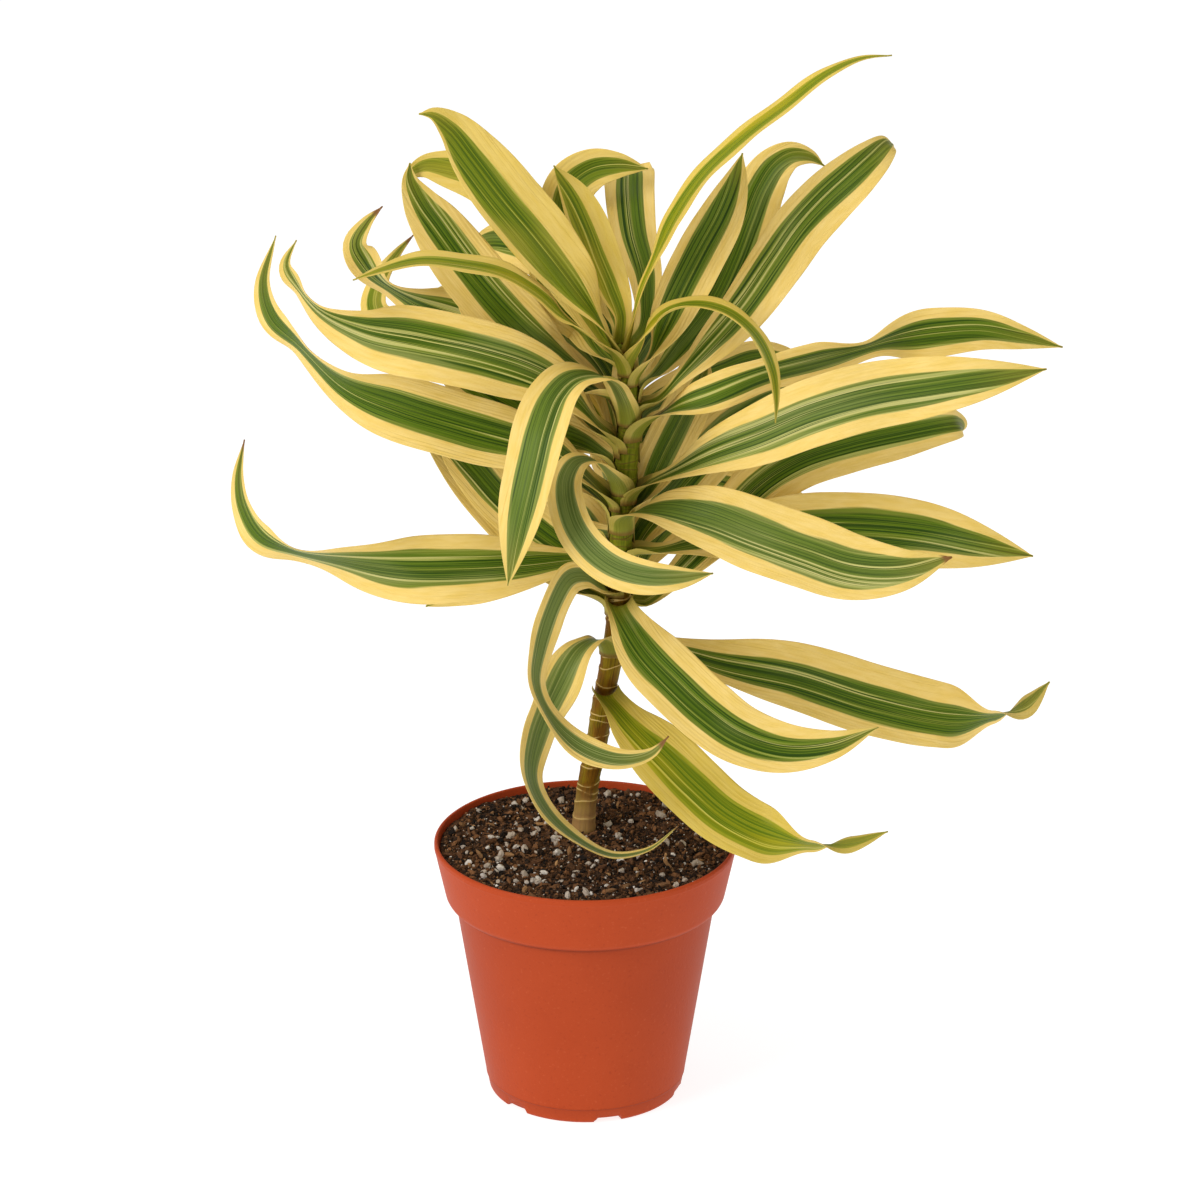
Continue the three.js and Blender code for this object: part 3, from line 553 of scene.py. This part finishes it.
def bark_finish():
    """Young bark: brown and olive with fine grain and pale leaf scars, tan at the soil, and green near the
    tip, where the scars are brown."""
    f = Finish("stem_bark", Specular_IOR_Level=0.1)
    height = f.value("height")
    about = f.value("round")
    scar = f.value("scar")
    grain = f.noise(f.together(about * 5.0, height * 0.05, 0.0), 1.0, 4.0, 0.65)
    patch = f.noise(f.together(about * 0.9, height * 0.06, 4.0), 1.0, 2.0)
    base = f.mix(patch.over(0.4, 0.62), colour(124, 82, 14), colour(136, 112, 12))
    base = f.mix(grain.over(0.45, 0.7) * 0.7, base, colour(60, 38, 10))
    base = f.mix(height.over(SOIL_LEVEL + 28.0, SOIL_LEVEL + 4.0) * 0.7, base, colour(188, 146, 92))
    green = f.mix(grain.over(0.3, 0.7), colour(92, 104, 12), colour(134, 134, 28))
    base = f.mix(height.over(GREEN_STEM_FROM - 14.0, GREEN_STEM_FROM + 8.0), base, green)
    worn = scar.over(0.45, 0.8) * patch.over(0.32, 0.5)
    upper = height.over(GREEN_STEM_FROM - 14.0, GREEN_STEM_FROM)
    line = f.mix(upper, colour(216, 184, 112), colour(104, 84, 28))
    base = f.mix(worn * 0.9, base, line)
    return f.paint(Base_Color=base, Roughness=0.5 + 0.2 * grain, Normal=f.bump(grain, 0.0008, 0.6))


FOLIAGE = leaf_finish()
PLASTIC = plastic_finish()
PEAT = soil_finish()
BARK = bark_finish()
CRUMB = grain_finish("peat_crumbs", colour(14, 8, 4), colour(142, 96, 58))
PERLITE = grain_finish("perlite", colour(186, 168, 148), colour(244, 236, 224))
CHIP = grain_finish("bark_chips", colour(92, 58, 34), colour(196, 148, 96))

# ------------------------------------------------------------------ pot


def rounded(profile, rounds):
    """A profile of straight lines whose corners are each replaced by a curve of the given reach: the parabola
    (1-t)^2 start + 2t(1-t) corner + t^2 end."""
    out = [np.array([profile[0]])]
    for i in range(1, len(profile) - 1):
        a, b, c = (np.array(profile[j], float) for j in (i - 1, i, i + 1))
        reach = min(rounds[i], 0.45 * np.linalg.norm(a - b), 0.45 * np.linalg.norm(c - b))
        start, end = b + unit(a - b) * reach, b + unit(c - b) * reach
        t = np.linspace(0, 1, 5)[:, None]
        out.append((1 - t) ** 2 * start + 2 * t * (1 - t) * b + t**2 * end)
    out.append(np.array([profile[-1]]))
    return np.vstack(out)


def pot_body_radius(z):
    """The outer radius of the pot below its collar, a straight taper."""
    return blend(FOOT_RADIUS + 0.9, BODY_TOP_RADIUS, z / (POT_HEIGHT - COLLAR_HEIGHT))


def pot_corners():
    """The profile's corners as radius, height and the reach of their rounding: from the middle of the
    underside over the grooved foot and the mould line, up the body, round the rim, and down the inside."""
    shoulder = POT_HEIGHT - COLLAR_HEIGHT
    line = MOULD_LINE_HEIGHT
    inner_foot = FLOOR_TOP + 4
    return np.array([
        (0.01, 0, 0),
        (CENTRE_DISC_RADIUS, 0, 0.4),
        (CENTRE_DISC_RADIUS + 1, FOOT_RING_HEIGHT, 0.4),
        (GROOVE_OUTER_RADIUS - 0.5, FOOT_RING_HEIGHT, 0.3),
        (GROOVE_OUTER_RADIUS, 0, 0.3),
        (FOOT_RADIUS - 0.6, 0, 0.6),
        (FOOT_RADIUS + 0.5, 1.2, 0.8),
        (pot_body_radius(line) - 0.5, line - 0.9, 0.2),
        (pot_body_radius(line) - 0.05, line - 0.3, 0.25),
        (pot_body_radius(line) - 0.02, line + 0.5, 0.3),
        (pot_body_radius(line + 2) - 0.25, line + 1.1, 0.3),
        (pot_body_radius(shoulder - 2), shoulder - 2, 1.4),
        (COLLAR_FOOT_RADIUS - 1.2, shoulder - 0.2, 1.6),
        (COLLAR_FOOT_RADIUS + 0.1, shoulder + 1.8, 1.6),
        (RIM_RADIUS - 0.25, POT_HEIGHT - 3.6, 0.5),
        (RIM_RADIUS, POT_HEIGHT - 3, 0.4),
        (RIM_RADIUS, POT_HEIGHT - 0.9, 0.8),
        (RIM_RADIUS - 0.9, POT_HEIGHT, 0.8),
        (RIM_RADIUS - WALL - 0.2, POT_HEIGHT - 0.3, 0.6),
        (RIM_RADIUS - WALL - 0.5, POT_HEIGHT - 2, 0.6),
        (COLLAR_FOOT_RADIUS - WALL, shoulder + 2, 1),
        (pot_body_radius(shoulder) - WALL, shoulder - 1, 1),
        (pot_body_radius(inner_foot) - WALL, inner_foot, 1.5),
        (FOOT_RADIUS - WALL - 1.2, FLOOR_TOP, 1.5),
        (0.01, FLOOR_TOP, 0),
    ])


def pot():
    """The profile turned about the upright axis. Where a notch is, the foot ring's underside rises to the
    groove, with a short slope at each end. Shade is painted into the plastic under the collar and at the
    mould line, darker by bells exp(-x^2) of the height."""
    corners = pot_corners()
    profile = rounded(corners[:, :2], corners[:, 2])
    angle = np.arange(POT_SIDES) * 2 * math.pi / POT_SIDES
    step = 360 / NOTCH_COUNT
    off = (np.degrees(angle) - FIRST_NOTCH_DEG + step / 2) % step - step / 2
    from_end = NOTCH_WIDTH / 2 - np.abs(np.radians(off)) * FOOT_RADIUS
    inside_notch = np.clip(from_end / NOTCH_EDGE, 0, 1)
    r = np.tile(profile[:, :1], (1, POT_SIDES))
    z = np.tile(profile[:, 1:], (1, POT_SIDES))
    lifted = (r > GROOVE_OUTER_RADIUS - 0.6) & (z < FOOT_RING_HEIGHT)
    z = np.where(lifted, np.maximum(z, FOOT_RING_HEIGHT * inside_notch), z)
    corners = np.stack([r * np.cos(angle), r * np.sin(angle), z], axis=-1).reshape(-1, 3)

    r, z = r.ravel(), z.ravel()
    # Painted shade: bells of darkening under the collar and along the mould line, carried as the crease
    # value.
    above_crease = (z - POT_HEIGHT + COLLAR_HEIGHT + 1.4) / 1.7
    above_line = (z - MOULD_LINE_HEIGHT + 0.6) / 0.5
    under_collar_shade = np.exp(-(above_crease**2)) * (r < COLLAR_FOOT_RADIUS - 0.6)
    mould_line_shade = np.exp(-(above_line**2)) * (r > FOOT_RADIUS - 0.6)
    crease = np.maximum(under_collar_shade, 0.7 * mould_line_shade)
    faces = grid_faces(len(profile), POT_SIDES)
    piece = new_piece("pot_shell", corners, faces, PLASTIC, {"crease": crease})
    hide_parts("pot")


# ------------------------------------------------------------------ stem

STEM_CURVE = curve_through(STEM_ROUTE)
STEM_TOP = STEM_ROUTE[-1][2]


def stem_place(height):
    """The point of the stem's middle line at a height."""
    return np.stack([np.interp(height, STEM_CURVE[:, 2], STEM_CURVE[:, i]) for i in range(3)], axis=-1)


def stem_radius(height):
    """Even up to the soft tip, then an even taper."""
    up_the_tip = np.clip((height - STEM_TAPER_FROM) / (STEM_TOP - STEM_TAPER_FROM), 0, 1)
    return blend(STEM_RADIUS, STEM_TIP_RADIUS, up_the_tip)


def stem():
    """Rings up the stem's path. The radius swells a little below every leaf scar, pinches just above it, and
    flares at the soil, all as bells exp(-x^2); each scar runs round the stem on a slight slope of its own."""
    heights = np.arange(STEM_ROUTE[0][2], STEM_TOP + 0.1, STEM_STEP)
    angle = np.arange(STEM_SIDES) * 2 * math.pi / STEM_SIDES
    h, a = np.meshgrid(heights, angle, indexing="ij")
    leaf_heights = [row["node"][0] for row in LEAVES]
    scars = BARE_STEM_SCARS + [up - SCAR_BELOW_NODE for up in leaf_heights if up > BARE_STEM_SCARS[-1] + 4]
    scar = np.zeros_like(h)
    swell = np.zeros_like(h)
    for i, at in enumerate(scars):
        off = h - at - 1.1 * np.sin(a + 2.4 * i) - 0.35 * np.sin(3 * a + i)
        scar = np.maximum(scar, np.exp(-((off / SCAR_WIDTH) ** 2)))
        swell += 0.3 * np.exp(-(((off + 0.6) / 1.3) ** 2)) - 0.16 * np.exp(-(((off - 1.1) / 0.9) ** 2))
    flare = 0.8 * np.exp(-np.maximum(h - SOIL_LEVEL, 0) / 5)
    radius = stem_radius(h) - 0.2 + swell + 0.12 * np.sin(3 * a + 0.07 * h) + flare
    centre = stem_place(heights)[:, None]
    rings = np.stack([np.cos(a) * radius, np.sin(a) * radius, np.zeros_like(h)], axis=-1) + centre
    middle = rings[-1:].mean(axis=1, keepdims=True)
    tip = middle + (rings[-1:] - middle) * 0.02 + [0, 0, 1.5]
    rings = np.concatenate([rings, tip])
    faces = grid_faces(len(rings), STEM_SIDES) + end_faces(len(rings), STEM_SIDES)
    values = {"height": h, "round": np.abs(a / math.pi - 1) * 3, "scar": scar}
    values = {label: np.vstack([grid, grid[-1:]]) for label, grid in values.items()}
    piece = new_piece("stem_bark_surface", rings.reshape(-1, 3), faces, BARK, values)
    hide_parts("stem")


# ------------------------------------------------------------------ leaves


def blade_width(s, wide, neck, peak):
    """A sine rise from the clasping neck to the widest place, then a cosine fall to the long point."""
    rise = neck + (wide - neck) * np.sin(np.pi / 2 * np.clip(s / peak, 0, 1)) ** 1.3
    fall = np.maximum(TIP_WIDTH, wide * np.cos(np.pi / 2 * np.clip((s - peak) / (1 - peak), 0, 1) ** 1.6))
    return np.where(s < peak, rise, fall)


def twist(s, turn):
    """The twist in radians along a blade: an eased step from each stop of the row's turn to the next."""
    stops = turn or [[0, 0], [1, 0]]
    out = np.zeros_like(s)
    for (low, a), (high, b) in zip(stops, stops[1:]):
        out = np.where(s > low, blend(a, b, ease(s, low, high)), out)
    return np.radians(out)


def margin_ripple(v, s, waves, phase):
    """Two sines along each margin, in other places left and right, which fade to the midrib as |v|^3."""
    turns = 2 * math.pi * waves * s
    right = np.sin(turns + phase[0]) + 0.5 * np.sin(5.1 * waves * s + phase[1])
    left = np.sin(1.13 * turns + phase[2]) + 0.5 * np.sin(4.3 * waves * s + phase[3])
    return np.where(v > 0, right, left) * np.abs(v) ** 3


def leaf(number, row):
    """A closed thin blade carried along its midrib. Its section is an arc that clasps the stem at the base
    and opens out to a shallow channel; the margins ripple slightly, and the midrib is a soft crease. Along
    the blade the section is turned about the midrib, eased from the base, until its face is to the light."""
    height, compass = row["node"]
    rng = np.random.default_rng(FIRST_LEAF_SEED + number)
    outward = np.array([math.cos(math.radians(compass)), math.sin(math.radians(compass)), 0])
    clasp = float(stem_radius(height)) + BASE_CLEARANCE
    base = stem_place(height) + outward * clasp
    risen = base + outward * 0.25 + np.array([0, 0, row.get("rise", BASE_RISE)])
    path = curve_through([base, risen] + row["route"])
    centre, reach = evenly_along(path, BLADE_ROWS)
    tangents = unit(np.gradient(centre, axis=0))
    across = carried_along(tangents, np.array([-outward[1], outward[0], 0]))
    face = unit(np.cross(tangents, across))
    s = np.linspace(0, 1, BLADE_ROWS)
    lit = unit(LIGHT_SIDE - tangents * (tangents @ LIGHT_SIDE)[:, None])
    to_light = np.arctan2(np.sum(np.cross(face, lit) * tangents, axis=1), np.sum(face * lit, axis=1))
    swing = to_light * row.get("light", 1) * ease(s, 0.04, 0.36) + twist(s, row.get("turn"))
    face = turned(face, tangents, swing)
    side = turned(across, tangents, swing)

    neck = 2 * clasp * math.sin(math.radians(NECK_DEG))
    width = blade_width(s, row["wide"], neck, row.get("peak", WIDEST_AT))
    opened = ease(s * reach, *BASE_OPENS)
    bend = 1 / blend(1 / clasp, math.sin(math.radians(CHANNEL_DEG)) * 2 / width, opened)
    half = blend(clasp * math.radians(BASE_WRAP_DEG), width / 2, opened)
    opening = half / bend
    around = np.arange(BLADE_SIDES) * 2 * math.pi / BLADE_SIDES + math.pi / BLADE_SIDES
    v = np.cos(around)[None, :]
    sheet = (BLADE_THICK / 2 * np.sin(around) / np.sqrt(0.25 + 0.75 * np.sin(around) ** 2))[None, :]
    sheet = sheet * (0.5 + 0.5 * ease(1 - s, 0, 0.15))[:, None]
    phase = rng.uniform(0, 2 * math.pi, 4)
    waves = reach / rng.uniform(*RIPPLE_LENGTHS)
    ripple = margin_ripple(v, s[:, None], waves, phase) * (RIPPLE_SHARE * half * ease(s, 0.12, 0.3))[:, None]
    crease = -MIDRIB_DEPTH * np.exp(-((v / MIDRIB_SHARE) ** 2)) * ease(s, 0.1, 0.3)[:, None]
    radius = bend[:, None] - sheet
    lateral = radius * np.sin(opening[:, None] * v)
    lift = bend[:, None] - radius * np.cos(opening[:, None] * v) + ripple + crease
    points = centre[:, None] + side[:, None] * lateral[..., None] + face[:, None] * lift[..., None]

    flat = np.ones((BLADE_ROWS, BLADE_SIDES))
    values = {
        "across": flat * v,
        "along": flat * s[:, None],
        "breadth": flat * half[:, None],
        "reach": flat * reach,
        "seed": flat * rng.uniform(0, 1),
        "under": flat * (np.sin(around) < 0)[None, :],
        "dry": flat * DRY_FROM.get(number, NEVER_DRY),
        "young": flat * YOUNG.get(number, 0),
        "pale": flat * SHEEN_SHARE.get(number, 0),
        "lean": flat * LEAN.get(number, rng.uniform(-0.06, 0.06)),
    }
    faces = grid_faces(BLADE_ROWS, BLADE_SIDES) + end_faces(BLADE_ROWS, BLADE_SIDES)
    piece = new_piece(f"blade_{number:02d}", points.reshape(-1, 3), faces, FOLIAGE, values)
    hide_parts(f"leaf_{number:02d}")


# ------------------------------------------------------------------ potting mix


def soil_edge(z):
    """The radius of the mix at a height, just inside the wall of the collar or of the body below it."""
    shoulder = POT_HEIGHT - COLLAR_HEIGHT
    collar = blend(COLLAR_FOOT_RADIUS, RIM_RADIUS, (z - shoulder) / COLLAR_HEIGHT) - WALL - SOIL_COLLAR_MARGIN
    return collar if z > shoulder + 2 else pot_body_radius(z) - WALL - SOIL_MARGIN


def soil_height(x, y):
    """The top of the mix: slow swells with finer lumps on them, all sums of sines."""
    swell = np.sin(0.11 * x + 0.6) * np.cos(0.13 * y) + 0.5 * np.sin(0.23 * x - 0.19 * y)
    lumps = np.sin(0.53 * x + 1.7 * np.sin(0.31 * y)) * np.sin(0.47 * y + 1.3 * np.sin(0.37 * x))
    fine = np.sin(1.31 * x + 2 * np.sin(0.9 * y)) * np.sin(1.17 * y + 2 * np.sin(1.1 * x))
    return SOIL_LEVEL - 0.6 + 0.7 * swell + 0.6 * lumps + 0.35 * fine


def soil_body():
    """The top as rings of a polar grid, closed below by the sides and floor of the pot's inside."""
    angle = np.arange(SOIL_SIDES) * 2 * math.pi / SOIL_SIDES
    shoulder = POT_HEIGHT - COLLAR_HEIGHT
    floor_height = FLOOR_TOP + SOIL_FLOOR_GAP
    lower = [(0.05, floor_height), (FOOT_RADIUS - WALL - 2.6, floor_height)]
    lower += [(soil_edge(z), z) for z in (FLOOR_TOP + 3, shoulder - 1.4, shoulder + 3)]
    rings = np.linspace(soil_edge(SOIL_LEVEL), 0.05, SOIL_RINGS)
    r = np.concatenate([[radius for radius, _ in lower], rings])
    x, y = r[:, None] * np.cos(angle), r[:, None] * np.sin(angle)
    z = soil_height(x, y)
    z[: len(lower)] = np.array([height for _, height in lower])[:, None]
    points = np.stack([x, y, z], axis=-1).reshape(-1, 3)
    piece = new_piece("potting_mix", points, grid_faces(len(r), SOIL_SIDES), PEAT)
    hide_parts("soil")


def ball(rings, sides):
    """Points and faces of a unit ball, as rings from pole to pole."""
    tilt = np.linspace(0, math.pi, rings + 2)[1:-1]
    turn = np.arange(sides) * 2 * math.pi / sides
    t, p = np.meshgrid(tilt, turn, indexing="ij")
    body = np.stack([np.sin(t) * np.cos(p), np.sin(t) * np.sin(p), np.cos(t)], axis=-1).reshape(-1, 3)
    points = np.vstack([body, [[0, 0, 1], [0, 0, -1]]])
    faces = [face[::-1] for face in grid_faces(rings, sides)]
    top, bottom = len(body), len(body) + 1
    for j in range(sides):
        k = (j + 1) % sides
        faces.append([top, j, k])
        faces.append([bottom, (rings - 1) * sides + k, (rings - 1) * sides + j])
    return points, faces


def turned_at_random(points, rng):
    """Each grain's points turned by a random quaternion (w, i, j, k), mostly about the upright axis."""
    q = unit(rng.standard_normal((len(points), 4)) * np.array([1, 0.35, 0.35, 1]))
    w, i, j, k = (q[:, n, None] for n in range(4))
    x, y, z = (points[..., n] for n in range(3))
    return np.stack([
        (1 - 2 * (j * j + k * k)) * x + 2 * (i * j - k * w) * y + 2 * (i * k + j * w) * z,
        2 * (i * j + k * w) * x + (1 - 2 * (i * i + k * k)) * y + 2 * (j * k - i * w) * z,
        2 * (i * k - j * w) * x + 2 * (j * k + i * w) * y + (1 - 2 * (i * i + j * j)) * z,
    ], axis=-1)


def scattered(name, material, count, sizes, stretch, sink, seed, rings=3, sides=6, rough=0.22, lean=2.0):
    """Many small grains on the mix: each is a ball pulled out of round, stretched, turned and sunk by its
    share. The higher lean is, the more of them are near the smallest size."""
    rng = np.random.default_rng(seed)
    smallest, largest = sizes
    unit_points, unit_faces = ball(rings, sides)
    room = soil_edge(SOIL_LEVEL) - largest * 0.7
    r = room * np.sqrt(rng.uniform(0, 1, count))
    a = rng.uniform(0, 2 * math.pi, count)
    x, y = r * np.cos(a), r * np.sin(a)
    foot = stem_place(SOIL_LEVEL)
    clear = np.hypot(x - foot[0], y - foot[1]) > STEM_RADIUS + largest * 0.6
    x, y = x[clear], y[clear]
    count = len(x)
    size = (smallest + (largest - smallest) * rng.uniform(0, 1, count) ** lean) / 2
    shape = [np.ones(count), rng.uniform(0.6, 0.95, count), rng.uniform(0.5, 0.85, count)]
    scale = size[:, None] * np.stack(shape, axis=1)
    scale[:, 0] *= rng.uniform(1, stretch, count)
    bumps = rng.standard_normal((count, len(unit_points), 1)).clip(-1.6, 1.6)
    points = unit_points[None] * (1 + rough * bumps) * scale[:, None]
    points = turned_at_random(points, rng)
    lift = soil_height(x, y) + size * (0.7 - sink)
    points = (points + np.stack([x, y, lift], axis=-1)[:, None]).reshape(-1, 3)
    n = len(unit_points)
    faces = [[c + g * n for c in face] for g in range(count) for face in unit_faces]
    tone = np.repeat(rng.uniform(0, 1, count), n)
    new_piece(name, points, faces, material, {"tone": tone}, smooth=False)


pot()
soil_body()
scattered("peat_crumbs_fine", CRUMB, 8200, (0.6, 2.1), stretch=1.9, sink=0.25, seed=11, rings=2, sides=5)
scattered("peat_crumbs", CRUMB, 1100, (1.6, 4.2), stretch=1.8, sink=0.5, seed=12)
scattered("perlite_dust", PERLITE, 900, (0.4, 1.4), stretch=1.3, sink=0.0, seed=13, rings=2, sides=5)
scattered(
    "perlite_grains", PERLITE, 210, (1.2, 5.0), stretch=1.6, sink=0.15, seed=14,
    rings=4, sides=8, rough=0.16, lean=2.6,
)
scattered("bark_chips", CHIP, 120, (1.4, 4.2), stretch=3.2, sink=0.1, seed=15, rough=0.12)
stem()
for number, row in enumerate(LEAVES, start=1):
    leaf(number, row)

# ------------------------------------------------------------------ floor, light and camera, in metres

FLOOR_SIDE = 24.0
MIDDLE = (0.02, 0, 0.28)


def floor():
    """A plain white floor, a little self-lit so that it stays white to the horizon as in a studio."""
    f = Finish("white_floor", Roughness=0.9, Specular_IOR_Level=0.1)
    f.shell.inputs["Base Color"].default_value = (0.36, 0.36, 0.36, 1)
    f.shell.inputs["Emission Color"].default_value = (1, 1, 1, 1)
    f.shell.inputs["Emission Strength"].default_value = 0.84
    mesh = bpy.data.meshes.new("studio_floor")
    half = FLOOR_SIDE / 2
    corners = [(-half, -half, 0), (half, -half, 0), (half, half, 0), (-half, half, 0)]
    mesh.from_pydata(corners, [], [[0, 1, 2, 3]])
    mesh.materials.append(f.material)
    sheet = bpy.data.objects.new("studio_floor", mesh)
    bpy.context.scene.collection.objects.link(sheet)


def soft_light(name, place, size, power):
    """A square lamp that faces the middle of the plant."""
    lamp = bpy.data.lights.new(name, "AREA")
    lamp.size = size
    lamp.energy = power
    light = bpy.data.objects.new(name, lamp)
    bpy.context.scene.collection.objects.link(light)
    light.location = place
    x, y, z = (p - q for p, q in zip(place, MIDDLE))
    light.rotation_euler = (math.atan2(math.hypot(x, y), z), 0, math.atan2(x, -y))


CAMERA_PLACE = (0.0074, -2.7445, 1.3451)
CAMERA_PITCH_DEG = 21.5
FOCAL_PIXELS = 5961
PHOTO_PIXELS = 1200


def camera():
    """The photograph's camera, fitted to the pot as the photograph shows it."""
    lens = bpy.data.cameras.new("camera")
    lens.sensor_width = 36
    lens.lens = FOCAL_PIXELS / PHOTO_PIXELS * lens.sensor_width
    lens.clip_end = 60
    eye = bpy.data.objects.new("camera", lens)
    bpy.context.scene.collection.objects.link(eye)
    eye.location = CAMERA_PLACE
    eye.rotation_euler = (math.radians(90 - CAMERA_PITCH_DEG), 0, 0)
    bpy.context.scene.camera = eye


floor()
soft_light("window_left", (-1.9, -1.5, 1.7), size=1.3, power=44)
soft_light("fill_right", (2.0, -1.8, 1.0), size=2.0, power=9)
soft_light("top", (0.1, 0.1, 2.4), size=1.6, power=16)
world = bpy.data.worlds.new("studio")
world.use_nodes = True
world.node_tree.nodes["Background"].inputs["Color"].default_value = (1, 1, 1, 1)
world.node_tree.nodes["Background"].inputs["Strength"].default_value = 0.36
bpy.context.scene.world = world
bpy.context.scene.view_settings.view_transform = "Standard"
bpy.context.scene.view_settings.look = "None"
camera()
